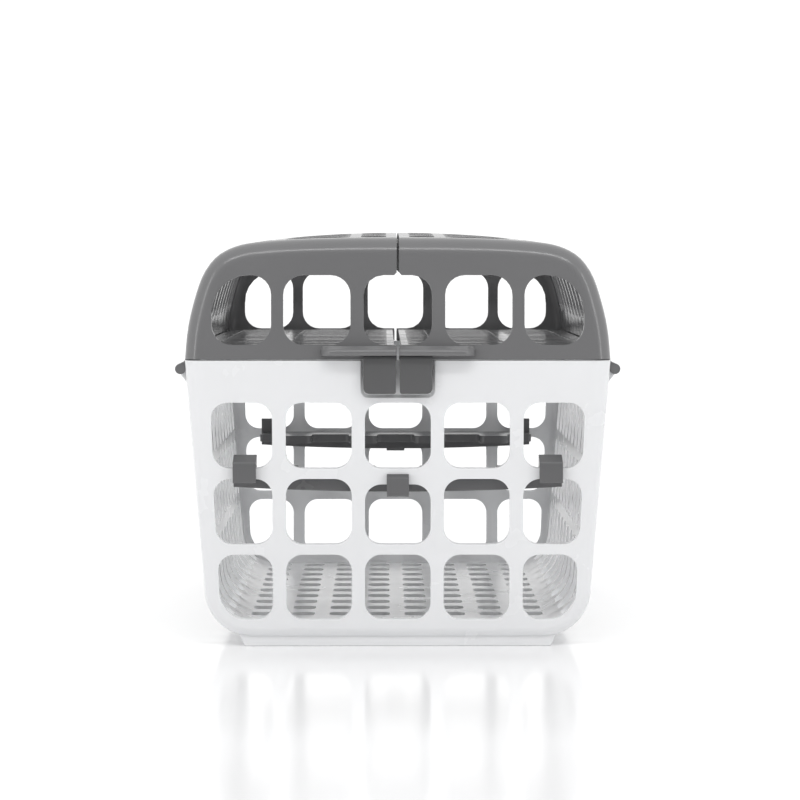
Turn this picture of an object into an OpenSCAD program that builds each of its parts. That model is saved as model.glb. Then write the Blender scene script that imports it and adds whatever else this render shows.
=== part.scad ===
// Lidded lattice basket for small bottle parts: a white tub, two grey lid halves
// hinged along the long sides, snap latches at both ends and two clip-on racks.
// Frame: origin on the table under the centre, X across, Y along, Z up.
// The front is the -Y end. Left is -X.

/* [Basket] */
// Width of the basket at the rim
rim_w = 150; // [148:1:156]
// Length of the basket at the rim
rim_l = 232; // [230:1:240]
// Height of the rim above the table
rim_h = 101.7; // [101.5:0.1:103]
// Wall thickness of the basket
wall = 2.4; // [2.2:0.1:2.8]
// Inward lean of the long walls in degrees
side_lean = 4.5; // [4:0.5:5]
// Inward lean of the end walls in degrees
end_lean = 3.5; // [3:0.5:4]
// Radius where the long walls turn into the floor
side_turn_r = 17; // [14:1:18]
// Radius where the end walls turn into the floor
end_turn_r = 6; // [5:0.5:8]
// Radius of the upright corners at the rim
corner_r = 8; // [8:1:14]
// Height of the feet under the floor
foot_h = 3.3; // [3:0.1:4]

/* [Lattice] */
// Distance between the columns of openings in the end walls
col_pitch = 27.8; // [27.4:0.1:28]
// Distance between the rows of openings
row_pitch = 27; // [26.6:0.1:27.2]
// Width and height of an opening in the end walls
pane = 23.2; // [22:0.1:23.4]
// Corner radius of an opening
pane_r = 5.8; // [4:0.1:7]
// Outer edge of the outer openings in the top row
pane_edge = 65.4; // [64:0.1:66]
// Distance between the slots along the basket
slot_pitch = 18; // [17.6:0.1:18]
// Width of a slot
slot_w = 13.4; // [12:0.1:13.6]

/* [Lid] */
// Height of the lid crown above the rim
lid_rise = 45.7; // [44:0.1:47]
// Wall thickness of the lid
lid_wall = 2.2; // [2:0.1:2.4]
// Gap between the two lid halves
split = 0.8; // [0.6:0.1:1]
// Inward lean of the lid's sides in degrees
lid_lean = 6; // [5:0.5:7]
// Radius of the lid's long shoulders
shoulder_r = 17; // [15:1:18]
// Radius of the roof's crown across the lid
crown_r = 480; // [460:10:520]
// Height of the openings in the lid's ends
lid_pane_h = 24.5; // [23:0.1:25]
// Height of the lid's floor above the rim
lid_floor_rise = 5; // [4.8:0.1:5.2]

/* [Hinge] */
// Distance of the hinge axis outside the rim
hinge_out = 2; // [2:0.1:2.4]
// Depth of the hinge axis below the rim
hinge_drop = 3.3; // [3.2:0.1:3.6]
// Radius of the hinge pins
pin_r = 1; // [0.9:0.05:1]
// Outer radius of the hinge knuckles
knuckle_r = 1.9; // [1.8:0.05:1.95]
// Running clearance around each pin
pin_gap = 0.05; // [0.03:0.01:0.08]

/* [Latch] */
// Width of a latch finger
finger_w = 11.4; // [10:0.1:11.6]
// Height of the finger's tip below the rim
finger_drop = 11.6; // [10:0.1:12]
// Thickness of a finger
finger_t = 2; // [1.8:0.1:2]
// Length of a thumb ledge across the lid
ledge_w = 26.5; // [24:0.5:28]
// Depth of a thumb ledge
ledge_out = 5; // [4:0.5:6]

/* [Rack] */
// Half the width of a rack
rack_half = 58; // [57:0.5:59]
// Depth of the rack's shelf between its fingers
shelf_d = 18; // [16:1:20]
// Further reach of the rack's fingers
prong_l = 11; // [8:1:12]
// Width of a rack finger
prong_w = 12; // [10:0.5:13]
// Thickness of the shelf
shelf_t = 3.2; // [2.6:0.1:3.4]

/* [Hidden] */
$fn = 48;
white = "white";
grey = [0.42, 0.42, 0.43];
dark = [0.34, 0.34, 0.35];
// Cutters run past the faces they cut by this much
over = 20;
// The tub's round turns stand proud of the flats by this much
crease = 0.01;
// Cross feet under the end walls and runners between them
foot_half = 54.4;
foot_y = 106.7;
foot_t = 2.6;
runner_w = 3.2;
// Height of the middle of the top row, and the rows below it
top_row_z = 75.3;
rows = [for (k = [0:2]) top_row_z - k * row_pitch];
slots = [for (k = [-5.5:1:5.5]) k * slot_pitch];
// The outer openings step in as the walls lean
pane_step = 0.037;
// Slots of the lid's floor are this much narrower than those in its walls
floor_slot_w = slot_w - 0.9;
// The tub's floor has two rows of short slots under each column of the end walls
tub_slot_w = 8.4;
tub_slot_l = 10;
tub_slot_r = 2.5;
// Lowest edge of the slots in the long walls
side_pane_low = 7;
// Lid: height of its lower edge, crown and end faces
lid_z = rim_h + 0.4;
crown_z = rim_h + lid_rise;
lid_pane_z = rim_h + 5.5;
lid_slot_z = rim_h + 13.3;
lid_slot_h = 15;
lid_end_lean = 3;
lid_end_r = 8;
lid_half_l = rim_l / 2 + 0.2;
// Angle of the crown where it meets the shoulders
crown_lean = 6;
rail = 1.6;
rail_z = rim_h + 1.7;
rail_half_l = 96;
rail_x = 16;
rail_w = 46;
// Hinge axis
hinge_x = rim_w / 2 + hinge_out;
hinge_z = rim_h - hinge_drop;
knuckle_y = 98;
knuckle_l = 8;
ear_t = 3.6;
play = 0.2;
// Latch pocket in each end wall
pocket_w = 26.2;
pocket_z = rim_h - 13.1;
pocket_d = 1.3;
finger_x = split / 2 + 0.3;
finger_y = lid_half_l + 0.15 + finger_t;
tip_z = rim_h - finger_drop;
tip_r = 2;
root_z = lid_z + 0.45;
root_r = 0.9;
nib = 0.8;
ridge = 0.5;
nib_z = tip_z + 1;
nib_h = 1.2;
ridge_h = 1;
// Rack: the bar it hooks over lies between the top two rows
bar_top = rows[1] + row_pitch - pane / 2;
bar_low = rows[1] + pane / 2;
shelf_z = bar_top - 1.3;
apron_low = bar_low - 4.7;
apron_r = 989;
apron_t = 2;
hook_w = 8.2;
clip_w = 7.8;
clip_low = bar_low - 6;
clip_high = bar_low + 1.8;
strap = 2.2;
rest_gap = 0.1;
bar_gap = 0.4;

// Centre of a circle of radius r that touches two lines from inside.
// Each line is a point and its outward normal.
function touch(p, n, q, m, r) =
    let (u = p * n - r, v = q * m - r, d = n.x * m.y - n.y * m.x)
    [(u * m.y - v * n.y) / d, (v * n.x - u * m.x) / d];
// Outer face of an end wall, as a distance from the middle, at height z
function end_y(z) = rim_l / 2 - (rim_h - z) * tan(end_lean);
// Outer face of a long wall at height z
function side_x(z) = rim_w / 2 - (rim_h - z) * tan(side_lean);
// Outer edge of the outer openings in the row at height z
function edge_x(z) = pane_edge - (top_row_z - z) * pane_step;
// Outer face of a rack's apron, just inside the end wall
rack_y = end_y(apron_low) - wall - rest_gap;

module along_y(len) rotate([90, 0, 0]) linear_extrude(len, center = true) children();
module along_x(len) rotate([90, 0, 90]) linear_extrude(len, center = true) children();
module both_x() { children(); mirror([1, 0, 0]) children(); }

// Rectangle with round corners between two corners
module round_box(low, high, r) {
    w = high.x - low.x;
    h = high.y - low.y;
    translate([low.x + r, low.y]) square([w - 2 * r, h]);
    translate([low.x, low.y + r]) square([w, h - 2 * r]);
    for (x = [low.x + r, high.x - r], y = [low.y + r, high.y - r]) translate([x, y]) circle(r);
}

// Section of the tub with leaning sides and round lower corners
module tub_section(half, lean, r, inset, top) {
    n = [cos(lean), -sin(lean)];
    c = touch([half, rim_h], n, [0, foot_h], [0, -1], r);
    a = c + (r - inset) * n;
    b = c - [0, r - inset];
    x = half + (top - rim_h) * tan(lean) - inset / cos(lean);
    polygon([[-x, top], [x, top], a, b, [-b.x, b.y], [-a.x, a.y]]);
    for (s = [-1, 1]) translate([s * c.x, c.y]) circle(r - inset + crease);
}

module tub(inset, top) intersection() {
    along_y(rim_l + over) tub_section(rim_w / 2, side_lean, side_turn_r, inset, top);
    along_x(rim_w + over) tub_section(rim_l / 2, end_lean, end_turn_r, inset, top);
    linear_extrude(top + over)
        round_box([inset - rim_w / 2, inset - rim_l / 2],
                  [rim_w / 2 - inset, rim_l / 2 - inset], corner_r - inset);
}

// Openings of one end wall, seen along Y
module end_panes() for (z = rows) {
    for (c = [-1:1]) translate([c * col_pitch, 0])
        round_box([-pane / 2, z - pane / 2],
                  [pane / 2, z + pane / 2 - (c == 0 && z == rows[1] ? 1.8 : 0)], pane_r);
    both_x() round_box([2 * col_pitch - pane / 2 + 0.3, z - pane / 2],
                       [edge_x(z), z + pane / 2], pane_r);
}

// Notch above the middle opening of the second row, where the rack's clip passes
module clip_notch() translate([-4.5, bar_low - 3]) square([9, 3]);

module side_panes() for (y = slots, z = rows)
    round_box([y - slot_w / 2, z == rows[2] ? side_pane_low : z - pane / 2],
              [y + slot_w / 2, z + pane / 2], 4.5);

module floor_slots() both_x() for (y = slots, c = [0.5:1:3.5])
    translate([c * col_pitch / 2, y])
        round_box([-tub_slot_w / 2, -tub_slot_l / 2],
                  [tub_slot_w / 2 - (c > 3 ? 1.6 : 0), tub_slot_l / 2], tub_slot_r);

// White knuckle that carries a hinge pin on the right side at y > 0
module basket_knuckle() translate([0, knuckle_y - knuckle_l / 2, 0]) {
    rotate([-90, 0, 0]) translate([hinge_x, -hinge_z, 0]) cylinder(r = knuckle_r, h = knuckle_l);
    translate([side_x(hinge_z) - 1, 0, hinge_z - 4])
        cube([hinge_x - side_x(hinge_z) + 1, knuckle_l, 4]);
    translate([side_x(hinge_z) - 1, 0, hinge_z - 4])
        cube([1.6, knuckle_l, 4 + knuckle_r]);
}

module feet() for (s = [-1, 1]) {
    translate([-foot_half, s * foot_y - foot_t / 2, 0])
        cube([2 * foot_half, foot_t, foot_h + 1.5]);
    translate([s * 1.5 * col_pitch - runner_w / 2, -foot_y, 0])
        cube([runner_w, 2 * foot_y, foot_h + 0.5]);
}

// Ridge across the back of a latch pocket, just above the fingers' nibs
module catch_ridge() translate([1 - pocket_w / 2, 0, nib_z + nib_h + play])
    translate([0, end_y(rim_h) - pocket_d - play, 0])
        cube([pocket_w - 2, ridge + play, ridge_h]);

module basket_body() difference() {
    union() {
        difference() {
            tub(0, rim_h);
            tub(wall, rim_h + over);
            along_y(rim_l + over) end_panes();
            along_x(rim_w + over) side_panes();
            translate([0, 0, -1]) linear_extrude(10) floor_slots();
        }
        feet();
        for (s = [0, 1]) mirror([0, s, 0]) {
            both_x() basket_knuckle();
        }
    }
    for (s = [0, 1]) mirror([0, s, 0]) {
        translate([-pocket_w / 2, end_y(rim_h) - pocket_d, pocket_z])
            cube([pocket_w, over, rim_h]);
        both_x() translate([hinge_x, knuckle_y + over, hinge_z]) rotate([90, 0, 0])
            cylinder(r = pin_r + pin_gap, h = 2 * over);
    }
    along_y(rim_l + over) clip_notch();
}

module basket_shell() color(white) {
    basket_body();
    for (s = [0, 1]) mirror([0, s, 0]) catch_ridge();
}

// Section of the lid across the basket
module lid_section(inset, low) {
    n = [cos(lid_lean), sin(lid_lean)];
    m = [sin(crown_lean), cos(crown_lean)];
    q = [crown_r * m.x, crown_z - crown_r + crown_r * m.y];
    c = touch([rim_w / 2, lid_z], n, q, m, shoulder_r);
    a = c + (shoulder_r - inset) * n;
    b = c + (shoulder_r - inset) * m;
    x = rim_w / 2 - inset / cos(lid_lean) + (lid_z - low) * tan(lid_lean);
    polygon([[-x, low], [x, low], a, b, [-b.x, b.y], [-a.x, a.y]]);
    for (s = [-1, 1]) translate([s * c.x, c.y]) circle(shoulder_r - inset);
    intersection() {
        translate([0, crown_z - crown_r]) circle(crown_r - inset, $fn = 96);
        translate([-b.x, low]) square([2 * b.x, crown_z]);
    }
}

// Section of the lid along the basket
module lid_long_section(inset, low) {
    n = [cos(lid_end_lean), sin(lid_end_lean)];
    c = touch([lid_half_l, lid_z], n, [0, crown_z], [0, 1], lid_end_r);
    a = c + (lid_end_r - inset) * n;
    b = c + [0, lid_end_r - inset];
    y = lid_half_l - inset / cos(lid_end_lean) + (lid_z - low) * tan(lid_end_lean);
    polygon([[-y, low], [y, low], a, b, [-b.x, b.y], [-a.x, a.y]]);
    for (s = [-1, 1]) translate([s * c.x, c.y]) circle(lid_end_r - inset);
}

module lid_form(inset, low) intersection() {
    along_y(rim_l + over) lid_section(inset, low);
    along_x(rim_w + over) lid_long_section(inset, low);
    linear_extrude(crown_z + over)
        round_box([inset - rim_w / 2 - 0.2, inset - rim_l / 2 - 0.2],
                  [rim_w / 2 + 0.2 - inset, rim_l / 2 + 0.2 - inset], corner_r - inset);
}

module lid_end_panes() intersection() {
    union() {
        for (c = [-1:1]) translate([c * (col_pitch + 0.6), 0])
            round_box([-pane / 2 - 0.2, lid_pane_z], [pane / 2 + 0.2, lid_pane_z + lid_pane_h], 7);
        both_x() round_box([2 * col_pitch - pane / 2 + 0.4, lid_pane_z],
                           [pane_edge, lid_pane_z + lid_pane_h], 7);
    }
    lid_section(6.6, lid_z);
}

module lid_side_panes() for (y = slots)
    round_box([y - slot_w / 2, lid_slot_z], [y + slot_w / 2, lid_slot_z + lid_slot_h], 4.5);

module lid_roof_panes() for (y = slots) {
    round_box([4, y - slot_w / 2], [12.4, y + slot_w / 2], 3);
    round_box([col_pitch - pane / 2, y - slot_w / 2], [col_pitch + pane / 2, y + slot_w / 2], 4.5);
    round_box([44.4, y - slot_w / 2], [59.6, y + slot_w / 2], 4.5);
}

// Grey ear that holds a hinge pin on the right side at y > 0
module lid_ear(y) translate([0, y + ear_t, 0]) rotate([90, 0, 0]) linear_extrude(ear_t) {
    translate([hinge_x, hinge_z]) circle(knuckle_r);
    polygon([[hinge_x - 1.2, hinge_z + 1.2], [rim_w / 2 + 0.4, lid_z - 0.2],
             [rim_w / 2 - 0.6, lid_z + 1], [rim_w / 2 - 1.6, lid_z + 5],
             [rim_w / 2 - 0.4, lid_z + 5], [hinge_x + knuckle_r, hinge_z]]);
}

// Thumb ledge on the right half at the y > 0 end
module thumb_ledge() translate([split / 2 + 0.1, lid_half_l - 1, lid_z + 1.4])
    linear_extrude(3.6) polygon([[0, 0], [ledge_w, 0], [ledge_w - 1, 1 + ledge_out * 0.6],
                                 [ledge_w - 4, 1 + ledge_out], [0, 1 + ledge_out]]);

module lid_shell() color(grey) difference() {
    union() {
        intersection() {
            difference() {
                lid_form(0, lid_z);
                lid_form(lid_wall, lid_z - over);
            }
            translate([split / 2, -rim_l, 0]) cube([rim_w, 2 * rim_l, 2 * crown_z]);
        }
        // Rails inside the walls that the lid's floor rests on
        translate([rim_w / 2 - lid_wall - rail, -rail_half_l, rail_z])
            cube([lid_wall / 2 + rail, 2 * rail_half_l, rail]);
        for (s = [-1, 1]) translate([rail_x, s * (lid_half_l - lid_wall) - rail, rail_z])
            cube([rail_w, 2 * rail, rail]);
        for (s = [0, 1]) mirror([0, s, 0]) {
            thumb_ledge();
            lid_ear(knuckle_y + knuckle_l / 2 + play);
            lid_ear(knuckle_y - knuckle_l / 2 - play - ear_t);
        }
    }
    along_y(rim_l + over) lid_end_panes();
    translate([rim_w / 2, 0, 0]) along_x(over) lid_side_panes();
    translate([0, 0, crown_z - 9]) linear_extrude(over) lid_roof_panes();
    for (s = [0, 1]) mirror([0, s, 0])
        translate([hinge_x, knuckle_y + over, hinge_z]) rotate([90, 0, 0])
            cylinder(r = pin_r, h = 2 * over);
}

module lid_floor() color(dark) difference() {
    intersection() {
        lid_form(lid_wall + 0.3, lid_z - over);
        translate([split / 2 + 0.8, -rim_l, rim_h + 3.4])
            cube([rim_w, 2 * rim_l, lid_floor_rise - 3.4]);
    }
    translate([0, 0, rim_h]) linear_extrude(over) for (y = slots) {
        round_box([4, y - floor_slot_w / 2], [12.4, y + floor_slot_w / 2], 3);
        round_box([col_pitch - pane / 2, y - floor_slot_w / 2],
                  [col_pitch + pane / 2, y + floor_slot_w / 2], 4);
        round_box([44.4, y - floor_slot_w / 2], [pane_edge, y + floor_slot_w / 2], 4);
    }
}

module hinge_pin() color(grey)
    translate([hinge_x, knuckle_y + knuckle_l / 2 + play + ear_t + 0.6, hinge_z])
    rotate([90, 0, 0]) {
        cylinder(r = pin_r, h = knuckle_l + 2 * ear_t + 2 * play + 1.2);
        cylinder(r = knuckle_r - 0.1, h = 0.6);
    }

module latch_finger() color(dark) {
    translate([finger_x, finger_y, 0]) rotate([90, 0, 0]) linear_extrude(finger_t) {
        translate([0, tip_z + tip_r]) square([finger_w, root_z - tip_z - tip_r]);
        translate([0, tip_z]) square([finger_w - tip_r, tip_r]);
        translate([finger_w - tip_r, tip_z + tip_r]) circle(tip_r);
    }
    translate([finger_x, finger_y - finger_t / 2, root_z]) rotate([0, 90, 0])
        cylinder(r = root_r, h = finger_w);
    // Nib that snaps under the ridge in the pocket
    translate([finger_x + 1, finger_y - finger_t - nib, nib_z])
        cube([finger_w - 2, nib + play, nib_h]);
}

// Hook over the bar near one end of a rack, with a sloping top
module corner_hook() {
    inner = rack_y - strap;
    outer = end_y(bar_top) + bar_gap;
    translate([rack_half - hook_w / 2, 0, 0]) along_x(hook_w)
        polygon([[inner, shelf_z - 1], [rack_y, shelf_z - 1], [rack_y, bar_top + rest_gap],
                 [outer, bar_top + rest_gap], [outer, bar_low - 1.3],
                 [outer + strap, bar_low - 1.3], [outer + strap, bar_top + 2.3],
                 [inner + 1, bar_top + 4.5], [inner, bar_top + 4.5]]);
}

// Clip under the bar in the middle of a rack
module centre_clip() {
    inner = end_y(apron_low) - wall - strap;
    outer = end_y(bar_low) + bar_gap;
    along_x(clip_w)
        polygon([[inner, bar_low - 1.6], [outer, bar_low - 1.6], [outer, clip_low],
                 [outer + strap, clip_low], [outer + strap, clip_high - 1.3],
                 [outer + 0.5, clip_high], [outer, clip_high],
                 [outer, bar_low - rest_gap], [inner, bar_low - rest_gap]]);
}

// Rack at the y > 0 end
module rack() color(dark) {
    translate([-rack_half, rack_y - shelf_d, shelf_z - shelf_t])
        cube([2 * rack_half, shelf_d, shelf_t]);
    for (c = [-1.5:1.5]) translate([c * col_pitch - prong_w / 2, rack_y - shelf_d - prong_l, 0])
        translate([0, 0, shelf_z - shelf_t]) linear_extrude(shelf_t)
            round_box([0, 0], [prong_w, prong_l + 4], 3);
    // Apron under the shelf's outer edge, deeper in the middle
    translate([0, rack_y, 0]) rotate([90, 0, 0]) linear_extrude(apron_t) intersection() {
        translate([-rack_half, apron_low - 1]) square([2 * rack_half, shelf_z - apron_low + 1]);
        translate([0, apron_low + apron_r]) circle(apron_r, $fn = 720);
    }
    both_x() corner_hook();
    centre_clip();
}

module to_left() mirror([1, 0, 0]) children();
module to_front() mirror([0, 1, 0]) children();

basket_shell();
to_left() lid_shell();  // lid_shell_left
lid_shell();  // lid_shell_right
to_left() lid_floor();  // lid_floor_left
lid_floor();  // lid_floor_right
to_left() to_front() hinge_pin();  // hinge_pin_left_front
to_left() hinge_pin();  // hinge_pin_left_rear
to_front() hinge_pin();  // hinge_pin_right_front
hinge_pin();  // hinge_pin_right_rear
to_left() to_front() latch_finger();  // latch_finger_left_front
to_left() latch_finger();  // latch_finger_left_rear
to_front() latch_finger();  // latch_finger_right_front
latch_finger();  // latch_finger_right_rear
to_front() rack();  // rack_front
rack();  // rack_rear
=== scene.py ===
import bpy
import bmesh
import math
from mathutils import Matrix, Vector


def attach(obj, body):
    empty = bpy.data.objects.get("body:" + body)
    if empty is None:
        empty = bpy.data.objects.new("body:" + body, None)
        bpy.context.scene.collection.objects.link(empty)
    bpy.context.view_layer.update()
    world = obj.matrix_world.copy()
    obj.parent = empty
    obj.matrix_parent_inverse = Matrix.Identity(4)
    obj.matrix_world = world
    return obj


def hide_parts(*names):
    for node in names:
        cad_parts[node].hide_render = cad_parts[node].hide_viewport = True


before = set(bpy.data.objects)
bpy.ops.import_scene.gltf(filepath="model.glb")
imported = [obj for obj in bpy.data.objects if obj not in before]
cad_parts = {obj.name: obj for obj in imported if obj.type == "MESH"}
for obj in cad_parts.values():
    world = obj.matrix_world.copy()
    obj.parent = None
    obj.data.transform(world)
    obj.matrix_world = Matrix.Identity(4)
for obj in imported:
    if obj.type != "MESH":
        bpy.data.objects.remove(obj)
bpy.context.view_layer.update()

MM = 0.001

# The object's dimensions in millimetres, as in the CAD source
RIM_W, RIM_L, RIM_H = 150.0, 232.0, 101.7
WALL, SIDE_LEAN, END_LEAN, FOOT_H = 2.4, 4.5, 3.5, 3.3
TURN_R = 17.0
COL, ROW_EDGES = 27.85, (87.8, 61.75, 34.75)
SLOT = 18.0
# End wall openings: half width, corner radius, middle heights by row, then the outermost column's edges,
# its corner radius at the turn, and how far the middle opening stops short for the rack's clip
PANE_HALF, PANE_R, PANE_MIDS = 11.6, 5.8, (75.3, 48.3, 21.4)
PANE_INNER, PANE_EDGES, PANE_TURN_R, PANE_NOTCH = 44.2, (65.4, 64.6, 63.2), 9.5, 1.9
# Latch recess: half width, bottom, corner radius, width of its sloping border, depth
RECESS_HALF, RECESS_Z, RECESS_R, RECESS_BORDER, RECESS_DEPTH = 13.1, 88.6, 2.6, 1.0, 1.3
# Bars under the clip-on racks and the underside
BAR_TOP, BAR_LOW = 63.7, 59.9
FOOT_HALF, FOOT_Y, RUNNER_X = 54.4, 106.7, 41.7
LID_Z, LID_END, LID_END_LEAN, LID_WALL, SPLIT = 102.1, 116.2, 3.0, 2.2, 0.4
HINGE_X, HINGE_Z, KNUCKLE_R = 77.0, 98.4, 1.9
KNUCKLE_Y, KNUCKLE_L, EAR_T = 98.0, 8.0, 3.6
PLAY = 0.2


def tan(a):
    return math.tan(math.radians(a))


def sin(a):
    return math.sin(math.radians(a))


def cos(a):
    return math.cos(math.radians(a))


def mix(a, b, t):
    """The value a share t of the way from a to b."""
    return a + (b - a) * t


# ---------------------------------------------------------------- mesh tools

class Sheet:
    """Faces in millimetres whose equal corners are shared."""

    def __init__(self):
        self.index, self.points, self.faces = {}, [], []

    def vert(self, p):
        key = tuple(round(c, 3) for c in p)
        if key not in self.index:
            self.index[key] = len(self.points)
            self.points.append(p)
        return self.index[key]

    def face(self, *pts):
        ids = []
        for p in pts:
            i = self.vert(p)
            if i not in ids:
                ids.append(i)
        if len(ids) > 2:
            self.faces.append(ids)

    def ring(self, outer, inner, closed=True):
        n = len(outer)
        for i in range(n if closed else n - 1):
            j = (i + 1) % n
            self.face(outer[i], outer[j], inner[j], inner[i])

    def grid(self, rows):
        for a, b in zip(rows, rows[1:]):
            for i in range(len(a) - 1):
                self.face(a[i], a[i + 1], b[i + 1], b[i])

    def build(self, name, outward=None):
        """A mesh object in metres. outward(centre) gives a direction that the outer faces look along."""
        mesh = bpy.data.meshes.new(name)
        mesh.from_pydata([tuple(c * MM for c in p) for p in self.points], [], self.faces)
        bm = bmesh.new()
        bm.from_mesh(mesh)
        bmesh.ops.recalc_face_normals(bm, faces=bm.faces[:])
        if outward is not None:
            vote = 0.0
            for f in bm.faces:
                d = outward(f.calc_center_median())
                vote += f.calc_area() * f.normal.dot(d)
            if vote < 0:
                bmesh.ops.reverse_faces(bm, faces=bm.faces[:])
        for f in bm.faces:
            f.smooth = True
        bm.to_mesh(mesh)
        bm.free()
        obj = bpy.data.objects.new(name, mesh)
        bpy.context.scene.collection.objects.link(obj)
        return obj


def fractions(n, k, a):
    """n + 1 positions from 0 to 1, with k steps in each end stretch of length a."""
    left = [a * i / k for i in range(k)]
    middle = [mix(a, 1 - a, i / (n - 2 * k)) for i in range(n - 2 * k + 1)]
    return left + middle + [1 - p for p in reversed(left)]


def hole(x0, x1, y0, y1, radii, across, up):
    """Loop of a rounded opening, from half way round its low left corner on by the right.
    radii has the four corners in that order.
    across and up are (steps along a side, steps in a half corner)."""
    r = radii
    centres = [(x0 + r[0], y0 + r[0]), (x1 - r[1], y0 + r[1]), (x1 - r[2], y1 - r[2]), (x0 + r[3], y1 - r[3])]
    pts = []
    for side in range(4):
        n, k = across if side % 2 == 0 else up
        (cx, cy), (dx, dy) = centres[side], centres[(side + 1) % 4]
        ra, rb = r[side], r[(side + 1) % 4]
        start = 225 + 90 * side
        for i in range(k):
            a = start + 45 * i / k
            pts.append((cx + ra * cos(a), cy + ra * sin(a)))
        a = start + 45
        p, q = (cx + ra * cos(a), cy + ra * sin(a)), (dx + rb * cos(a), dy + rb * sin(a))
        m = n - 2 * k
        for i in range(m + 1):
            pts.append((mix(p[0], q[0], i / m), mix(p[1], q[1], i / m)))
        for i in range(1, k):
            b = a + 45 * i / k
            pts.append((dx + rb * cos(b), dy + rb * sin(b)))
    return pts


def modify(obj, thickness=None, bevel=0.5, segments=3, angle=38):
    """Wall thickness inwards, rounded edges and even shading."""
    if thickness:
        m = obj.modifiers.new("wall", "SOLIDIFY")
        m.thickness, m.offset = thickness * MM, -1
        m.use_even_offset, m.use_quality_normals = True, True
    m = obj.modifiers.new("edges", "BEVEL")
    m.width, m.segments, m.limit_method = bevel * MM, segments, "ANGLE"
    m.angle_limit, m.profile = math.radians(angle), 0.5
    m.use_clamp_overlap, m.miter_outer = True, "MITER_ARC"
    m = obj.modifiers.new("normals", "WEIGHTED_NORMAL")
    m.keep_sharp, m.weight = False, 60


def prism(sheet, poly, place, low, high):
    """Closed solid between low and high along one axis. place(a, b, c) gives the point."""
    a = [place(p[0], p[1], low) for p in poly]
    b = [place(p[0], p[1], high) for p in poly]
    base = len(sheet.points)
    sheet.points += a + b
    n = len(poly)
    sheet.faces.append([base + i for i in range(n)])
    sheet.faces.append([base + n + i for i in reversed(range(n))])
    for i in range(n):
        j = (i + 1) % n
        sheet.faces.append([base + i, base + n + i, base + n + j, base + j])


def rounded(poly, radii, steps=4):
    """A polygon with each corner turned into an arc of the given radius."""
    out, n = [], len(poly)
    for i, (x, y) in enumerate(poly):
        r = radii[i] if isinstance(radii, (list, tuple)) else radii
        (px, py), (qx, qy) = poly[i - 1], poly[(i + 1) % n]
        ux, uy, vx, vy = px - x, py - y, qx - x, qy - y
        lu, lv = math.hypot(ux, uy), math.hypot(vx, vy)
        ux, uy, vx, vy = ux / lu, uy / lu, vx / lv, vy / lv
        half = math.acos(max(-1, min(1, ux * vx + uy * vy))) / 2
        if r <= 0 or half > 1.5:
            out.append((x, y))
            continue
        d = min(r / math.tan(half), 0.45 * lu, 0.45 * lv)
        p, q = (x + ux * d, y + uy * d), (x + vx * d, y + vy * d)
        for s in range(steps + 1):
            t = s / steps
            trio = zip(p, (x, y), q)
            out.append(tuple((1 - t) ** 2 * a + 2 * t * (1 - t) * b + t * t * c for a, b, c in trio))
    return out


# ---------------------------------------------------------------- materials

def plastic(name, colour, rough, grain=0.000008, mottle=0.05, scuffs=0.05, subsurface=0.0):
    """Moulded plastic: a fine textured skin, faint flow mottling and light scuffing."""
    mat = bpy.data.materials.new(name)
    mat.use_nodes = True
    nt = mat.node_tree
    b = nt.nodes["Principled BSDF"]
    coord = nt.nodes.new("ShaderNodeTexCoord")

    def noise(scale, detail, rough_=0.5, distortion=0.0):
        n = nt.nodes.new("ShaderNodeTexNoise")
        n.inputs["Scale"].default_value = scale
        n.inputs["Detail"].default_value = detail
        n.inputs["Roughness"].default_value = rough_
        n.inputs["Distortion"].default_value = distortion
        nt.links.new(coord.outputs["Object"], n.inputs["Vector"])
        return n

    flow = noise(18, 3, 0.5, 0.3)
    tone = nt.nodes.new("ShaderNodeValToRGB")
    tone.color_ramp.elements[0].position, tone.color_ramp.elements[1].position = 0.32, 0.70
    tone.color_ramp.elements[0].color = tuple(c * (1 - mottle) for c in colour) + (1,)
    tone.color_ramp.elements[1].color = tuple(min(1, c * (1 + mottle)) for c in colour) + (1,)
    nt.links.new(flow.outputs["Fac"], tone.inputs["Fac"])
    nt.links.new(tone.outputs["Color"], b.inputs["Base Color"])

    smear = noise(45, 4, 0.55, 0.3)
    wear = nt.nodes.new("ShaderNodeMapRange")
    wear.inputs["From Min"].default_value, wear.inputs["From Max"].default_value = 0.35, 0.75
    wear.inputs["To Min"].default_value = rough - scuffs / 2
    wear.inputs["To Max"].default_value = rough + scuffs
    nt.links.new(smear.outputs["Fac"], wear.inputs["Value"])
    nt.links.new(wear.outputs["Result"], b.inputs["Roughness"])

    skin = noise(2600, 2, 0.5)
    wave = noise(60, 3, 0.5)
    fine = nt.nodes.new("ShaderNodeBump")
    fine.inputs["Strength"].default_value, fine.inputs["Distance"].default_value = 0.3, grain
    broad = nt.nodes.new("ShaderNodeBump")
    broad.inputs["Strength"].default_value, broad.inputs["Distance"].default_value = 0.2, 0.00004
    nt.links.new(skin.outputs["Fac"], fine.inputs["Height"])
    nt.links.new(wave.outputs["Fac"], broad.inputs["Height"])
    nt.links.new(broad.outputs["Normal"], fine.inputs["Normal"])
    nt.links.new(fine.outputs["Normal"], b.inputs["Normal"])
    b.inputs["IOR"].default_value = 1.49
    b.inputs["Subsurface Weight"].default_value = subsurface
    b.inputs["Subsurface Radius"].default_value = (0.004, 0.004, 0.004)
    return mat


WHITE = plastic("white_plastic", (0.785, 0.79, 0.80), 0.25, mottle=0.012, subsurface=0.35)
LID_GREY = plastic("lid_plastic", (0.155, 0.155, 0.158), 0.2, mottle=0.03)
# The latch fingers get the lid's plastic painted darker: painted shade for the shadow that the thumb ledge
# casts on them
LATCH_SHADED_GREY = plastic("latch_plastic_painted_shade", (0.10, 0.10, 0.102), 0.22, mottle=0.04)
RACK_GREY = plastic("rack_plastic", (0.118, 0.118, 0.121), 0.24, mottle=0.04)


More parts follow.
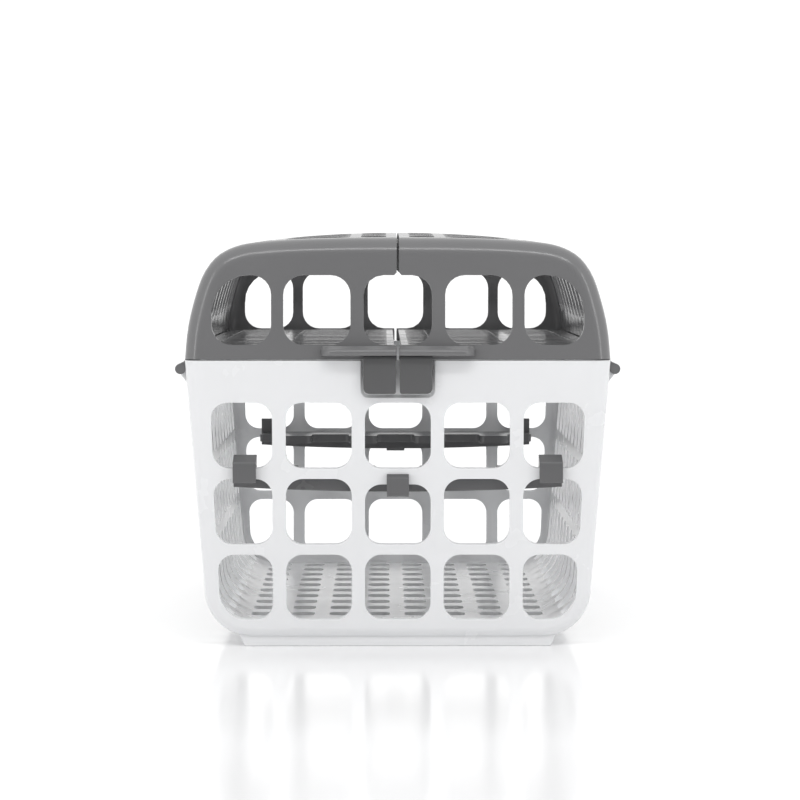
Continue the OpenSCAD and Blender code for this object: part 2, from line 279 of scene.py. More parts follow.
def finish_piece(obj, body, material, replaced=()):
    """Gives a piece its material and body, and hides the CAD nodes that it stands for."""
    obj.data.materials.clear()
    obj.data.materials.append(material)
    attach(obj, body)
    if replaced:
        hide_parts(*replaced)


# ---------------------------------------------------------------- the tub

def end_y(z):
    """Outer face of the tub's leaning end wall."""
    return RIM_L / 2 - (RIM_H - z) * tan(END_LEAN)


def side_x(z):
    """Outer face of the tub's leaning side wall."""
    return RIM_W / 2 - (RIM_H - z) * tan(SIDE_LEAN)


CZ = FOOT_H + TURN_R
CX = side_x(CZ) - TURN_R / cos(SIDE_LEAN)
FLAT_Z = CZ - TURN_R * sin(SIDE_LEAN)
LEN_WALL = (RIM_H - FLAT_Z) / cos(SIDE_LEAN)
LEN_TURN = math.radians(90 - SIDE_LEAN) * TURN_R
LEN_HALF = LEN_WALL + LEN_TURN + CX


def tub_at(w):
    """Outer point (x, z) and outward direction at distance w from the middle of the floor."""
    s, a = (1 if w >= 0 else -1), LEN_HALF - abs(w)
    if a < LEN_WALL:
        z = RIM_H - a * cos(SIDE_LEAN)
        t = -SIDE_LEAN * a / LEN_WALL
        return (s * side_x(z), z), (s * cos(t), sin(t))
    if a < LEN_WALL + LEN_TURN:
        t = -SIDE_LEAN - math.degrees((a - LEN_WALL) / TURN_R)
        return (s * (CX + TURN_R * cos(t)), CZ + TURN_R * sin(t)), (s * cos(t), sin(t))
    return (s * abs(w), FOOT_H), (0.0, -1.0)


def w_of_z(z):
    """Distance along the section at height z of the side wall."""
    return LEN_HALF - (RIM_H - z) / cos(SIDE_LEAN)


def edge_r(z):
    """Radius of the rounding between the side sheet and the end wall."""
    return 3.5 + 2.0 * z / RIM_H


def cells_tub():
    """Stretches of the section from the middle of the floor up one side, as (from, to, division).
    A division is (steps, corner steps, end share) as fractions() takes them, or None for the plain band."""
    spine = LEN_HALF - LEN_WALL - math.radians(65) * TURN_R
    h = COL / 2
    marks = [0, h, 2 * h, 3 * h, spine, *(w_of_z(z) for z in reversed(ROW_EDGES)), LEN_HALF]
    steps = [(6, 2, 0.37)] * 3 + [(6, 2, 0.37), (18, 3, 0.2), (12, 4, 0.28), (12, 4, 0.28), None]
    return list(zip(marks, marks[1:], steps))


def positions(cell):
    """Distances along the section at which a stretch has its points."""
    a, b, step = cell
    f = [i / 4 for i in range(5)] if step is None else fractions(*step)
    return [mix(a, b, t) for t in f]


Y_STEP = (8, 3, 0.37)
Y_CELLS = [(k * SLOT, (k + 1) * SLOT) for k in range(-6, 6)]


def y_last(w):
    """Where the side sheet ends and its rounding to the end wall begins."""
    (x, z), _ = tub_at(w)
    return end_y(z) - edge_r(z)


def tub_outline(w):
    """Point of the end wall's flat outline beside the rounded edge."""
    (x, z), (dx, dz) = tub_at(w)
    r = edge_r(z)
    return x - r * dx, z - r * dz


def sheet_y(y, w, last):
    """Stretches the outermost cells to the leaning end of the sheet."""
    inner = 5 * SLOT
    if abs(y) <= inner:
        return y
    t = (abs(y) - inner) / SLOT
    return math.copysign(mix(inner, last(w), t), y)


def make_tub():
    """The white basket: ribbed sheet round the sides and floor, and two end walls with openings."""
    sh = Sheet()
    cells = cells_tub()

    def on_sheet(w, y):
        (x, z), _ = tub_at(w)
        return (x, sheet_y(y, w, y_last), z)

    # margins of the slot in each stretch: low end, high end, across, radius
    slots = [(2.75, 2.75, 4.2, 2.5)] * 3 + [(2.75, 3.0, 4.2, 2.5)]
    slots += [(3.6, 1.9, 2.3, 4.5), (1.9, 1.9, 2.3, 4.5), (1.9, 0.95, 2.3, 4.5)]
    for side in (1, -1):
        for i, cell in enumerate(cells):
            ws = [side * w for w in positions(cell)]
            for y0, y1 in Y_CELLS:
                ys = [mix(y0, y1, t) for t in fractions(*Y_STEP)]
                if i == 7:
                    sh.grid([[on_sheet(w, y) for y in ys] for w in ws])
                    continue
                low, high, margin, r = slots[i]
                n, k, _ = cell[2]
                outer = [(w, ys[0]) for w in ws[:-1]] + [(ws[-1], y) for y in ys[:-1]]
                outer += [(w, ys[-1]) for w in reversed(ws[1:])] + [(ws[0], y) for y in reversed(ys[1:])]
                m0 = m1 = margin
                if abs(y0 + y1) > 10.5 * SLOT:
                    width = y_last(mix(cell[0], cell[1], 0.5)) - 5 * SLOT
                    far = max(2.6 / width * SLOT, margin)
                    m0, m1 = (margin, far) if y0 > 0 else (far, margin)
                k_w = 3 if n == 12 else k
                loop = hole(cell[0] + low, cell[1] - high, y0 + m0, y1 - m1, [r] * 4, (n, k_w), (8, 3))
                inner = [(side * w, y) for w, y in loop]
                sh.ring([on_sheet(*p) for p in outer], [on_sheet(*p) for p in inner])

    ws_half = []
    for cell in cells:
        ws_half += positions(cell)[0 if not ws_half else 1:]
    ws_all = [-w for w in reversed(ws_half[1:])] + ws_half

    for sy in (1, -1):
        # rounded edge between the sheet and the end wall
        steps = 5
        rows = []
        for w in ws_all:
            (x, z), (dx, dz) = tub_at(w)
            r = edge_r(z)
            row = []
            for j in range(steps + 1):
                t = 90 * j / steps
                px, pz = x - r * (1 - cos(t)) * dx, z - r * (1 - cos(t)) * dz
                base = mix(end_y(z), end_y(pz), j / steps)
                row.append((px, sy * (base - r * (1 - sin(t))), pz))
            rows.append(row)
        sh.grid(rows)

        def wall(p):
            return (p[0], sy * end_y(p[1]), p[1])

        edges = [RIM_H, *ROW_EDGES]
        line_f = fractions(12, 4, 0.28)
        floor_z = tub_outline(0)[1]

        def to_outline(z):
            """Points of the level line z, from the outermost column line to the outline."""
            ox, oz = tub_outline(w_of_z(z))
            return [(mix(1.5 * COL, ox, f), mix(z, oz, f)) for f in line_f]

        def upright(x, k):
            """Points up a line between columns, across row k."""
            low = edges[k] if k < 4 else floor_z
            return [(x, mix(low, edges[k - 1], t)) for t in line_f]

        for k in (2, 3, 4):
            z_mid = PANE_MIDS[k - 2]
            z0, z1 = z_mid - PANE_HALF, z_mid + PANE_HALF
            for c in (-1, 0, 1):
                x0, x1 = (c - 0.5) * COL, (c + 0.5) * COL
                if k < 4:
                    low = [(mix(x0, x1, f), edges[k]) for f in line_f]
                else:
                    wl = []
                    for j in (0, 1):
                        a = (2 * c - 1 + j) * COL / 2
                        f6 = fractions(6, 2, 0.37)
                        wl += [a + COL / 2 * f for f in f6][0 if j == 0 else 1:]
                    low = [(w, floor_z) for w in wl]
                high = [(mix(x0, x1, f), edges[k - 1]) for f in line_f]
                left, right = upright(x0, k), upright(x1, k)
                loop = low[:-1] + right[:-1] + list(reversed(high[1:])) + list(reversed(left[1:]))
                top = z1 - PANE_NOTCH if k == 3 and c == 0 else z1
                cut = hole(c * COL - PANE_HALF, c * COL + PANE_HALF, z0, top, [PANE_R] * 4, (12, 4), (12, 4))
                sh.ring([wall(p) for p in loop], [wall(p) for p in cut])
            for side in (1, -1):
                xi = 1.5 * COL
                edge = PANE_EDGES[k - 2]
                out_hi = to_outline(edges[k - 1])
                up_in = upright(xi, k)
                if k < 4:
                    out_lo = to_outline(edges[k])
                    up_out = [tub_outline(w) for w in positions(cells[8 - k])]
                else:
                    turn = positions(cells[4])
                    out_lo = [tub_outline(w) for w in positions(cells[3]) + turn[1:7]]
                    up_out = [tub_outline(w) for w in turn[6:]]
                loop = out_lo[:-1] + up_out[:-1] + list(reversed(out_hi[1:])) + list(reversed(up_in[1:]))
                radii = [PANE_R, PANE_TURN_R if k == 4 else PANE_R, PANE_R, PANE_R]
                cut = hole(PANE_INNER, edge, z0, z1, radii, (12, 4), (12, 4))
                lean = 0.04
                cut = [(x + (z - z_mid) * lean * (x - PANE_INNER) / (edge - PANE_INNER), z) for x, z in cut]
                sh.ring([wall((side * x, z)) for x, z in loop], [wall((side * x, z)) for x, z in cut])

        # the band above the windows, with the latch recess in its middle
        for side in (1, -1):
            rows = []
            for j in range(5):
                z = mix(edges[1], edges[0], j / 4)
                one = [(mix(COL / 2, 1.5 * COL, f), z) for f in line_f]
                rows.append([wall((side * x, zz)) for x, zz in one + to_outline(z)[1:]])
            sh.grid(rows)

        def recess(inset, depth):
            """Outline of the latch recess, open at the rim."""
            x, low, r = RECESS_HALF - inset, RECESS_Z + inset, RECESS_R - inset * 0.6
            pts = [(-x, mix(RIM_H, low + r, j / 2)) for j in range(3)]
            pts += [(-x + r - r * cos(22.5 * j), low + r - r * sin(22.5 * j)) for j in (1, 2, 3)]
            pts += [(mix(-x + r, x - r, j / 8), low) for j in range(9)]
            pts += [(x - r + r * sin(22.5 * j), low + r - r * cos(22.5 * j)) for j in (1, 2, 3)]
            pts += [(x, mix(low + r, RIM_H, j / 2)) for j in range(3)]
            return [(px, sy * (end_y(pz) - depth), pz) for px, pz in pts]

        border = [(-COL / 2, mix(RIM_H, edges[1], j / 4)) for j in range(5)]
        border += [(mix(-COL / 2, COL / 2, f), edges[1]) for f in line_f][1:]
        border += [(COL / 2, mix(edges[1], RIM_H, j / 4)) for j in range(1, 5)]
        face, back = recess(0, 0), recess(RECESS_BORDER, RECESS_DEPTH)
        sh.ring([wall(p) for p in border], face, closed=False)
        sh.ring(face, back, closed=False)
        half = len(back) // 2
        for j in range(half):
            sh.face(back[j], back[j + 1], back[-j - 2], back[-j - 1])

    def outward(c):
        v = Vector((c.x / 0.075, c.y / 0.116, (c.z - 0.06) / 0.06 if c.z < 0.02 else 0))
        return v.normalized()

    obj = sh.build("basket_tub", outward)
    modify(obj, WALL, bevel=0.8, segments=3, angle=40)
    return obj


# ---------------------------------------------------------------- the lid halves

LID_POINTS = [(0.4, 144.7), (17, 144.6), (34, 144.2), (46, 143.5), (55, 142.3), (61.2, 139.9), (65.4, 136.5),
              (69, 130.8), (71.9, 122), (74.0, 112.5), (75.0, 102.1)]
LID_EDGE_R = 6.0
CROWN = 2.7


def spline(points, n=24):
    """Smooth curve through the points, with n steps between neighbours."""
    out = []
    pts = [(2 * points[0][0] - points[1][0], points[0][1]), *points,
           (2 * points[-1][0] - points[-2][0], 2 * points[-1][1] - points[-2][1])]
    for i in range(1, len(pts) - 2):
        for s in range(n):
            t = s / n
            p = []
            for c in (0, 1):
                a, b, d, e = pts[i - 1][c], pts[i][c], pts[i + 1][c], pts[i + 2][c]
                square = 2 * a - 5 * b + 4 * d - e
                cube = 3 * b - a - 3 * d + e
                p.append(0.5 * (2 * b + (d - a) * t + square * t * t + cube * t ** 3))
            out.append(tuple(p))
    out.append(points[-1])
    return out


LID_CURVE = spline(LID_POINTS)
LID_LEN = [0.0]
for _p, _q in zip(LID_CURVE, LID_CURVE[1:]):
    LID_LEN.append(LID_LEN[-1] + math.hypot(_q[0] - _p[0], _q[1] - _p[1]))


def lid_at(w):
    """Outer point and outward direction at distance w from the split."""
    i = 0
    while i < len(LID_LEN) - 2 and LID_LEN[i + 1] < w:
        i += 1
    t = (w - LID_LEN[i]) / (LID_LEN[i + 1] - LID_LEN[i])
    (ax, az), (bx, bz) = LID_CURVE[i], LID_CURVE[i + 1]
    lo, hi = max(0, i - 3), min(len(LID_CURVE) - 1, i + 4)
    tx, tz = LID_CURVE[hi][0] - LID_CURVE[lo][0], LID_CURVE[hi][1] - LID_CURVE[lo][1]
    angle = math.degrees(math.atan2(tx, -tz))
    x, z = mix(ax, bx, t), mix(az, bz, t)
    share = min(1.0, max(0.0, (z - LID_Z) / 16))
    if x < 12:
        angle = 90 - (90 - angle) * x / 12
    angle *= share
    return (x, z), (cos(angle), sin(angle))


def lid_w(test):
    """Distance along the lid's section at the first point that passes the test."""
    for i, p in enumerate(LID_CURVE):
        if test(p):
            return LID_LEN[i]
    return LID_LEN[-1]


def lid_end_y(z):
    """Outer face of the lid's leaning end wall."""
    return LID_END - (z - LID_Z) * tan(LID_END_LEAN)


def make_lid(side, name):
    """A lid half: domed roof and side with slots, and end walls with openings."""
    sh = Sheet()
    w_shoulder = lid_w(lambda p: p[0] > 65.9)
    marks = [0.0, lid_w(lambda p: p[0] > 14.25), lid_w(lambda p: p[0] > 42.1), w_shoulder,
             lid_w(lambda p: p[1] < 104.3), LID_LEN[-1]]
    steps = [(6, 2, 0.3), (12, 3, 0.28), (12, 3, 0.28), (12, 3, 0.28), None]
    cells = list(zip(marks, marks[1:], steps))

    def ws_of(cell):
        if cell[2] is None:
            return [mix(cell[0], cell[1], j / 2) for j in range(3)]
        return [mix(cell[0], cell[1], f) for f in fractions(*cell[2])]

    def dome(x, y, z):
        lift = CROWN * max(0.0, 1 - (x / 64) ** 2) ** 1.2 * max(0.0, 1 - (y / 112) ** 2)
        return z + lift * min(1.0, max(0.0, (z - 120) / 20))

    def last(w):
        (x, z), _ = lid_at(w)
        return lid_end_y(z) - LID_EDGE_R

    def on_sheet(w, y):
        (x, z), _ = lid_at(w)
        yy = sheet_y(y, w, last)
        return (side * x, yy, dome(x, yy, z))

    holes = [(3.7, 1.9, 2.5, 2.8), (1.95, 2.7, 2.3, 4.5), (2.3, 3.2, 2.3, 4.5), (3.0, 10.8, 2.3, 4.5)]
    for i, cell in enumerate(cells):
        ws = ws_of(cell)
        for y0, y1 in Y_CELLS:
            ys = [mix(y0, y1, t) for t in fractions(*Y_STEP)]
            if cell[2] is None:
                sh.grid([[on_sheet(w, y) for y in ys] for w in ws])
                continue
            low, high, margin, r = holes[i]
            n, k, _ = cell[2]
            outer = [(w, ys[0]) for w in ws[:-1]] + [(ws[-1], y) for y in ys[:-1]]
            outer += [(w, ys[-1]) for w in reversed(ws[1:])] + [(ws[0], y) for y in reversed(ys[1:])]
            m0 = m1 = margin
            if abs(y0 + y1) > 10.5 * SLOT:
                far = 3.0
                m0, m1 = (margin, far) if y0 > 0 else (far, margin)
            inner = hole(cell[0] + low, cell[1] - high, y0 + m0, y1 - m1, [r] * 4, (n, k), (8, 3))
            sh.ring([on_sheet(*p) for p in outer], [on_sheet(*p) for p in inner])

    def outline(w):
        (x, z), (dx, dz) = lid_at(w)
        return x - LID_EDGE_R * dx, z - LID_EDGE_R * dz

    ws_all = []
    for cell in cells:
        ws_all += ws_of(cell)[0 if not ws_all else 1:]
    line_f = fractions(12, 3, 0.28)
    half_f = fractions(6, 2, 0.3)
    for sy in (1, -1):
        steps_e = 6
        rows = []
        for w in ws_all:
            (x, z), (dx, dz) = lid_at(w)
            r = LID_EDGE_R
            row = []
            for j in range(steps_e + 1):
                t = 90 * j / steps_e
                px, pz = x - r * (1 - cos(t)) * dx, z - r * (1 - cos(t)) * dz
                base = mix(lid_end_y(z), lid_end_y(pz), j / steps_e)
                y = base - r * (1 - sin(t))
                top = dome(px, y, pz) if j == 0 else mix(dome(x, y, pz), pz, min(1, j / 2))
                row.append((side * px, sy * y, top))
            rows.append(row)
        sh.grid(rows)

        def wall(p):
            return (side * p[0], sy * lid_end_y(p[1]), p[1])

        x0, x1, x2 = SPLIT, outline(marks[1])[0], outline(marks[2])[0]
        zb = outline(marks[4])[1]
        ox = outline(marks[4])[0]
        xs = (x0, x1, x2, ox)

        # stretches of the end wall: the first opening runs out through the split
        def column(c):
            f = half_f if c == 0 else line_f
            low = [(mix(xs[c], xs[c + 1], t), zb) for t in f]
            top = [outline(w) for w in ws_of(cells[c])]
            left = [(mix(low[0][0], top[0][0], t), mix(zb, top[0][1], t)) for t in line_f]
            if c < 2:
                right = [(mix(low[-1][0], top[-1][0], t), mix(zb, top[-1][1], t)) for t in line_f]
            else:
                right = [outline(w) for w in reversed(ws_of(cells[3]))]
            return low, right, top, left

        zl, zh = 107.2, 131.7
        low, right, top, left = column(0)
        loop = low + right[1:] + list(reversed(top[:-1]))
        r = 7.0
        cut = [(SPLIT, zl - 1.0), (SPLIT + 0.9, zl)]
        cut += [(mix(SPLIT, 12 - r, j / 4), zl) for j in range(2, 5)]
        cut += [(12 - r + r * sin(22.5 * j), zl + r - r * cos(22.5 * j)) for j in (1, 2)]
        cut += [(12 - r + r * sin(45 + 15 * j), zl + r - r * cos(45 + 15 * j)) for j in (1, 2, 3)]
        cut += [(12, mix(zl + r, zh - r, j / 6)) for j in range(1, 7)]
        cut += [(12 - r + r * cos(15 * j), zh - r + r * sin(15 * j)) for j in (1, 2, 3)]
        cut += [(12 - r + r * cos(45 + 22.5 * j), zh - r + r * sin(45 + 22.5 * j)) for j in (1, 2)]
        cut += [(mix(12 - r, SPLIT, j / 4), zh) for j in range(1, 3)]
        cut += [(SPLIT + 0.9, zh), (SPLIT, zh + 1.0)]
        sh.ring([wall(p) for p in loop], [wall(p) for p in cut], closed=False)
        for c, (a, b, radii) in {1: (16.6, 40.2, [7] * 4), 2: (44.4, 65.3, [7, 7, 13, 7])}.items():
            low, right, top, left = column(c)
            loop = low[:-1] + right[:-1] + list(reversed(top[1:])) + list(reversed(left[1:]))
            cut = hole(a, b, zl, zh, radii, (12, 3), (12, 3))
            sh.ring([wall(p) for p in loop], [wall(p) for p in cut])
        # the lower edge of the end wall
        f_all = [mix(xs[0], xs[1], t) for t in half_f] + [mix(xs[1], xs[2], t) for t in line_f][1:]
        f_all += [mix(xs[2], xs[3], t) for t in line_f][1:]
        rows = []
        for j in range(3):
            w = mix(marks[5], marks[4], j / 2)
            o = outline(w)
            z = o[1]
            rows.append([wall((x if j == 2 or x < xs[3] else o[0], z)) for x in f_all])
        sh.grid(rows)

    def outward(c):
        to_side = side * max(0, abs(c.x) - 0.05) * 20
        to_end = math.copysign(max(0, abs(c.y) - 0.11) * 60, c.y)
        return Vector((to_side, to_end, max(0, c.z - 0.13) * 30 + 0.001))

    obj = sh.build(name, outward)
    modify(obj, LID_WALL, bevel=0.7, segments=3, angle=40)
    return obj


def make_lid_floor(side, name):
    """The slotted floor that closes a lid half's compartment."""
    sh = Sheet()
    z = 106.7
    x_marks = [1.2, 14.25, 42.1, 71.7]
    for i in range(3):
        n, k, a = [(6, 2, 0.3), (12, 3, 0.28), (12, 3, 0.28)][i]
        xs = [mix(x_marks[i], x_marks[i + 1], f) for f in fractions(n, k, a)]
        for y0, y1 in Y_CELLS:
            if y1 > 100:
                y1 = 112.6
            if y0 < -100:
                y0 = -112.6
            ys = [mix(y0, y1, t) for t in fractions(*Y_STEP)]
            m0 = 7.0 if y0 < -100 else 2.75
            m1 = 7.0 if y1 > 100 else 2.75
            a0, a1, r = [(4.0, 12.4, 2.8), (16.3, 39.4, 4), (44.4, 65.4, 4)][i]
            outer = [(x, ys[0]) for x in xs[:-1]] + [(xs[-1], y) for y in ys[:-1]]
            outer += [(x, ys[-1]) for x in reversed(xs[1:])] + [(xs[0], y) for y in reversed(ys[1:])]
            inner = hole(a0, a1, y0 + m0, y1 - m1, [r] * 4, (n, k), (8, 3))

            def put(p):
                x, y = p
                ex, ey = x - (71.7 - 7), abs(y) - (112.6 - 7)
                if ex > 0 and ey > 0:
                    d = max(math.hypot(ex, ey), 0.001)
                    big = max(ex, ey)
                    x, y = 71.7 - 7 + ex / d * big, math.copysign(112.6 - 7 + ey / d * big, y)
                return (side * x, y, z)

            sh.ring([put(p) for p in outer], [put(p) for p in inner])
    obj = sh.build(name, lambda c: Vector((0, 0, 1)))
    modify(obj, 1.6, bevel=0.3, segments=2, angle=40)
    return obj


# ---------------------------------------------------------------- smaller pieces

def at_y(a, b, c):
    return (a, c, b)


def at_x(a, b, c):
    return (c, a, b)


def at_z(a, b, c):
    return (a, b, c)


def solid(name, parts, bevel=0.4, segments=3, angle=38):
    """One mesh from several closed prisms: (outline, axis, low, high)."""
    sh = Sheet()
    for poly, place, low, high in parts:
        prism(sh, poly, place, low, high)
    obj = sh.build(name)
    modify(obj, None, bevel=bevel, segments=segments, angle=angle)
    return obj


def make_feet():
    """Cross feet under both ends, and two runners along the underside."""
    parts = []
    for s in (1, -1):
        y = s * FOOT_Y
        a, b = FOOT_HALF + 1.8, FOOT_H + 1.2
        foot = rounded([(-FOOT_HALF, 0.0), (FOOT_HALF, 0.0), (a, b), (-a, b)], [1.2, 1.2, 0, 0])
        parts.append((foot, at_y, y - 1.3, y + 1.3))
        x, b = s * RUNNER_X, FOOT_H + 0.5
        runner = rounded([(x - 1.6, 0.0), (x + 1.6, 0.0), (x + 2.0, b), (x - 2.0, b)], [0.7, 0.7, 0, 0])
        parts.append((runner, at_y, -105.5, 105.5))
    return solid("basket_feet", parts, bevel=0.35)


def make_brackets():
    """White knuckles outside the rim that carry the hinge pins."""
    parts = []
    for sx in (1, -1):
        x = side_x(HINGE_Z)
        ring = [(HINGE_X + KNUCKLE_R * cos(a), HINGE_Z + KNUCKLE_R * sin(a)) for a in range(-80, 100, 15)]
        poly = ring + [(x - 0.9, HINGE_Z + KNUCKLE_R), (x - 0.9, HINGE_Z - 5.0), (x + 0.2, HINGE_Z - 5.0)]
        for sy in (1, -1):
            y = sy * KNUCKLE_Y
            parts.append(([(sx * a, b) for a, b in poly], at_y, y - KNUCKLE_L / 2, y + KNUCKLE_L / 2))
    return solid("basket_hinge_brackets", parts, bevel=0.35)


def make_ears(side, name):
    """Grey ears on both sides of each knuckle."""
    parts = []
    for sy in (1, -1):
        for y in (KNUCKLE_Y + KNUCKLE_L / 2 + PLAY, KNUCKLE_Y - KNUCKLE_L / 2 - PLAY - EAR_T):
            ring = [(HINGE_X + KNUCKLE_R * cos(a), HINGE_Z + KNUCKLE_R * sin(a)) for a in range(-170, 71, 16)]
            web = [(75.7, 101.0), (74.95, 102.6), (74.7, 106.0), (73.4, 106.0), (73.2, 102.3), (74.4, 101.0)]
            a, b = sorted((sy * y, sy * (y + EAR_T)))
            parts.append(([(side * p, q) for p, q in ring + web], at_y, a, b))
    return solid(name, parts, bevel=0.4)


def rail_wedge(face):
    """Section of a rail on the lid wall whose inner face is at the given distance from the middle."""
    z = RIM_H + 1.7
    wedge = [(face - 1.6, z + 1.7), (face + 0.9, z + 1.7), (face + 0.9, z - 1.0), (face - 0.4, z - 0.2)]
    return rounded(wedge, [0.4, 0, 0, 0.4])


def make_rails(side, name):
    """Rails inside a lid half's walls, along the side and at both ends."""
    parts = [([(side * a, b) for a, b in rail_wedge(RIM_W / 2 - LID_WALL)], at_y, -96, 96)]
    for s in (1, -1):
        a, b = sorted((side * 16, side * 62))
        parts.append(([(s * p, q) for p, q in rail_wedge(LID_END - LID_WALL)], at_x, a, b))
    return solid(name, parts, bevel=0.25)


def make_ledge(side, sy, name):
    """Thumb ledge: a shelf with a rounded nose and a sloping back, tapering at its outer end."""
    sh = Sheet()
    rows = []
    n = 22
    for i in range(n + 1):
        x = mix(SPLIT + 0.1, 27.0, (i / n) ** 0.8 if i < n else 1)
        left = 27.0 - x
        d = 5.0 if left > 4.2 else 5.0 * (1 - (1 - left / 4.2) ** 2.2 * 0.72)
        y0 = LID_END - 1.0
        y1 = LID_END + d
        rise = 0.25 * (1 - left / 26.5)
        nose = [(y1 - 0.9, 103.5), (y1 - 0.35, 103.65), (y1 - 0.05, 104.1), (y1, 104.7), (y1 - 0.15, 105.3)]
        slope = [(y1 - 0.6, 105.8), (y1 - 1.3, 106.05), (y1 - 2.0, 106.25)]
        slope += [(y1 - 2.7, 106.65), (y1 - 3.2, 107.0)]
        section = enumerate([(y0, 103.5), *nose, *slope, (y0, 107.1)])
        rows.append([(side * x, sy * max(y, y0 + 0.02 * j), z - rise * 0.3) for j, (y, z) in section])
    sh.grid(rows)
    for row in (rows[0], rows[-1]):
        sh.face(*row)
    m = len(rows[0])
    for a, b in zip(rows, rows[1:]):
        sh.face(a[0], b[0], b[m - 1], a[m - 1])
    obj = sh.build(name)
    modify(obj, None, bevel=0.3, segments=2, angle=50)
    return obj


def make_finger(side, sy, name):
    """Latch finger with a rounded outer corner, a nib behind its tip and a round root."""
    x0, x1, tip, top = 0.7, 12.1, 90.1, 102.55
    y_out, t = LID_END + 0.15 + 2.0, 2.0
    poly = rounded([(x0, tip), (x1, tip), (x1, top), (x0, top)], [0.9, 2.4, 0, 0], 6)
    parts = [([(side * a, b) for a, b in poly], at_y, sy * y_out, sy * (y_out - t))]
    ring = [(sy * (y_out - t / 2) + 0.9 * cos(a), top + 0.9 * sin(a)) for a in range(0, 360, 20)]
    parts.append((ring, at_x, side * x0, side * x1))
    y = y_out - t
    nib = [(sy * (y + 0.3), 92.3), (sy * (y - 0.8), 92.3), (sy * (y - 0.8), 91.9), (sy * (y + 0.3), 90.9)]
    parts.append((nib, at_x, side * (x0 + 1), side * (x1 - 1)))
    return solid(name, parts, bevel=0.55, segments=4)


def make_rack(sy, name):
    """Clip-on rack: a shelf with fingers, an apron, two corner hooks and a middle clip."""
    shelf_z, t = 62.4, 3.2
    apron_low = BAR_LOW - 4.7
    y = end_y(apron_low) - WALL - 0.1
    half, depth, reach, w = 58.0, 18.0, 11.0, 12.0
    # shelf with its fingers, one outline with soft inner corners
    pts = [(-half, y), (-half, y - depth)]
    radii = [0.5, 2.0]
    for c in (-1.5, -0.5, 0.5, 1.5):
        x = c * 27.8
        near, far = y - depth, y - depth - reach
        pts += [(x - w / 2, near), (x - w / 2, far), (x + w / 2, far), (x + w / 2, near)]
        radii += [2.2, 3.0, 3.0, 2.2]
    pts += [(half, y - depth), (half, y)]
    radii += [2.0, 0.5]
    shelf = [(a, sy * b) for a, b in rounded(pts, radii, 5)]
    parts = [(shelf, at_z, shelf_z - t, shelf_z)]
    # apron, deeper in the middle
    low = [(x, apron_low + x * x / (2 * 989.0)) for x in [mix(half, -half, i / 24) for i in range(25)]]
    parts.append(([(-half, shelf_z - 0.3), (half, shelf_z - 0.3)] + low, at_y, sy * y, sy * (y - 2.0)))
    # corner hooks over the bar
    inner, outer = y - 2.2, end_y(BAR_TOP) + 0.4
    hook = [(inner, shelf_z - 1), (y, shelf_z - 1), (y, BAR_TOP + 0.1), (outer, BAR_TOP + 0.1),
            (outer, BAR_LOW - 1.3), (outer + 2.2, BAR_LOW - 1.3), (outer + 2.2, BAR_TOP + 2.3),
            (inner + 1, BAR_TOP + 4.5), (inner, BAR_TOP + 4.5)]
    hook = rounded(hook, [0, 0, 0.5, 0.4, 0, 0.7, 1.0, 1.0, 0.8], 4)
    for s in (1, -1):
        parts.append(([(sy * a, b) for a, b in hook], at_x, s * half, s * (half - 8.2)))
    # clip under the bar in the middle
    outer = end_y(BAR_LOW) + 0.4
    inner = y - 2.1
    clip = [(inner, BAR_LOW - 1.6), (outer, BAR_LOW - 1.6), (outer, BAR_LOW - 6), (outer + 2.2, BAR_LOW - 6),
            (outer + 2.2, BAR_LOW + 0.5), (outer + 0.5, BAR_LOW + 1.8), (outer, BAR_LOW + 1.8),
            (outer, BAR_LOW - 0.1), (inner, BAR_LOW - 0.1)]
    clip = rounded(clip, [0, 0.3, 0.3, 0.6, 0.8, 0.2, 0, 0, 0], 4)
    parts.append(([(sy * a, b) for a, b in clip], at_x, -3.9, 3.9))
    return solid(name, parts, bevel=0.45, segments=3)


# ---------------------------------------------------------------- assembly

tub = make_tub()
finish_piece(tub, "basket", WHITE, ["basket_shell"])
for piece in (make_feet(), make_brackets()):
    finish_piece(piece, "basket", WHITE)

for side, word in ((1, "right"), (-1, "left")):
    body = "lid_" + word
    lid = make_lid(side, "lid_half_" + word)
    finish_piece(lid, body, LID_GREY, ["lid_shell_" + word])
    plate = make_lid_floor(side, "lid_plate_" + word)
    finish_piece(plate, body, LID_GREY, ["lid_floor_" + word])
    finish_piece(make_ears(side, "hinge_ears_" + word), body, LID_GREY)
    finish_piece(make_rails(side, "lid_rails_" + word), body, LID_GREY)
    for sy, end in ((-1, "front"), (1, "rear")):
        finish_piece(make_ledge(side, sy, "thumb_ledge_%s_%s" % (word, end)), body, LID_GREY)
        finger = make_finger(side, sy, "latch_%s_%s_finger" % (word, end))
        node = "latch_finger_%s_%s" % (word, end)
        # the finger's darker grey is painted shade from the thumb ledge above it
        finish_piece(finger, "latch_%s_%s" % (word, end), LATCH_SHADED_GREY, [node])
        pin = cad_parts["hinge_pin_%s_%s" % (word, end)]
        pin.data.materials.clear()
        pin.data.materials.append(LID_GREY)

for sy, end in ((-1, "front"), (1, "rear")):
    finish_piece(make_rack(sy, "bottle_rack_" + end), "basket", RACK_GREY, ["rack_" + end])

# ---------------------------------------------------------------- stage

def make_floor():
    """Plain pale floor, wide enough to fill the view."""
    mesh = bpy.data.meshes.new("floor")
    mesh.from_pydata([(-6, -6, 0), (6, -6, 0), (6, 8, 0), (-6, 8, 0)], [], [(0, 1, 2, 3)])
    obj = bpy.data.objects.new("floor", mesh)
    bpy.context.scene.collection.objects.link(obj)
    mat = bpy.data.materials.new("floor")
    mat.use_nodes = True
    shader = mat.node_tree.nodes["Principled BSDF"]
    shader.inputs["Base Color"].default_value = (0.93, 0.93, 0.935, 1)
    shader.inputs["Roughness"].default_value = 0.12
    shader.inputs["IOR"].default_value = 1.45
    mesh.materials.append(mat)


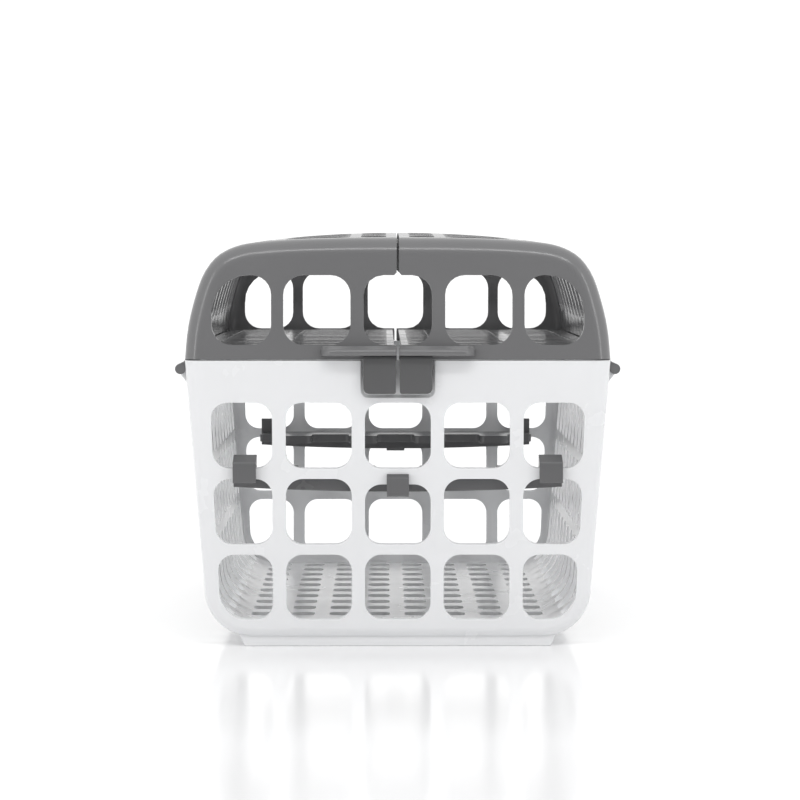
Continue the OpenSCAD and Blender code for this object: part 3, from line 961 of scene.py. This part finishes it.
def make_world():
    """White surround with a dim patch towards the front, so that edges stand out against faces."""
    world = bpy.data.worlds.new("studio")
    bpy.context.scene.world = world
    world.use_nodes = True
    nt = world.node_tree
    nt.nodes["Background"].inputs["Color"].default_value = (1, 1, 1, 1)
    way = nt.nodes.new("ShaderNodeTexCoord")
    dot = nt.nodes.new("ShaderNodeVectorMath")
    dot.operation = "DOT_PRODUCT"
    dot.inputs[1].default_value = (0, -1, 0)
    nt.links.new(way.outputs["Generated"], dot.inputs[0])
    dim = nt.nodes.new("ShaderNodeMapRange")
    dim.interpolation_type = "SMOOTHSTEP"
    dim.inputs["From Min"].default_value, dim.inputs["From Max"].default_value = 0.55, 0.92
    dim.inputs["To Min"].default_value, dim.inputs["To Max"].default_value = 1.12, 0.22
    nt.links.new(dot.outputs["Value"], dim.inputs["Value"])
    nt.links.new(dim.outputs["Result"], nt.nodes["Background"].inputs["Strength"])


def area(name, at, look, size, energy):
    """Soft rectangular light at one place, facing another."""
    data = bpy.data.lights.new(name, "AREA")
    data.shape, data.size, data.size_y, data.energy = "RECTANGLE", size[0], size[1], energy
    obj = bpy.data.objects.new(name, data)
    bpy.context.scene.collection.objects.link(obj)
    obj.location = at
    obj.rotation_euler = (Vector(look) - Vector(at)).to_track_quat("-Z", "Y").to_euler()


def make_camera():
    """Low viewpoint, nearly square on to the front end."""
    data = bpy.data.cameras.new("camera")
    data.lens, data.sensor_width = 122.7, 36
    data.clip_start, data.clip_end = 0.05, 50
    cam = bpy.data.objects.new("camera", data)
    bpy.context.scene.collection.objects.link(cam)
    cam.location = (-0.0043, -1.0706, 0.1376)
    cam.rotation_euler = (math.radians(90 - 2.98), 0, math.radians(-0.303))
    bpy.context.scene.camera = cam


make_floor()
make_world()
area("key_top", (0.0, -0.95, 1.15), (0, -0.1, 0.1), (1.5, 0.11), 5.2)
area("side_left", (-1.15, -0.95, 0.35), (0, -0.1, 0.08), (0.09, 1.0), 2.3)
area("side_right", (1.15, -0.95, 0.35), (0, -0.1, 0.08), (0.09, 1.0), 2.3)
make_camera()
bpy.context.scene.view_settings.view_transform = "Standard"
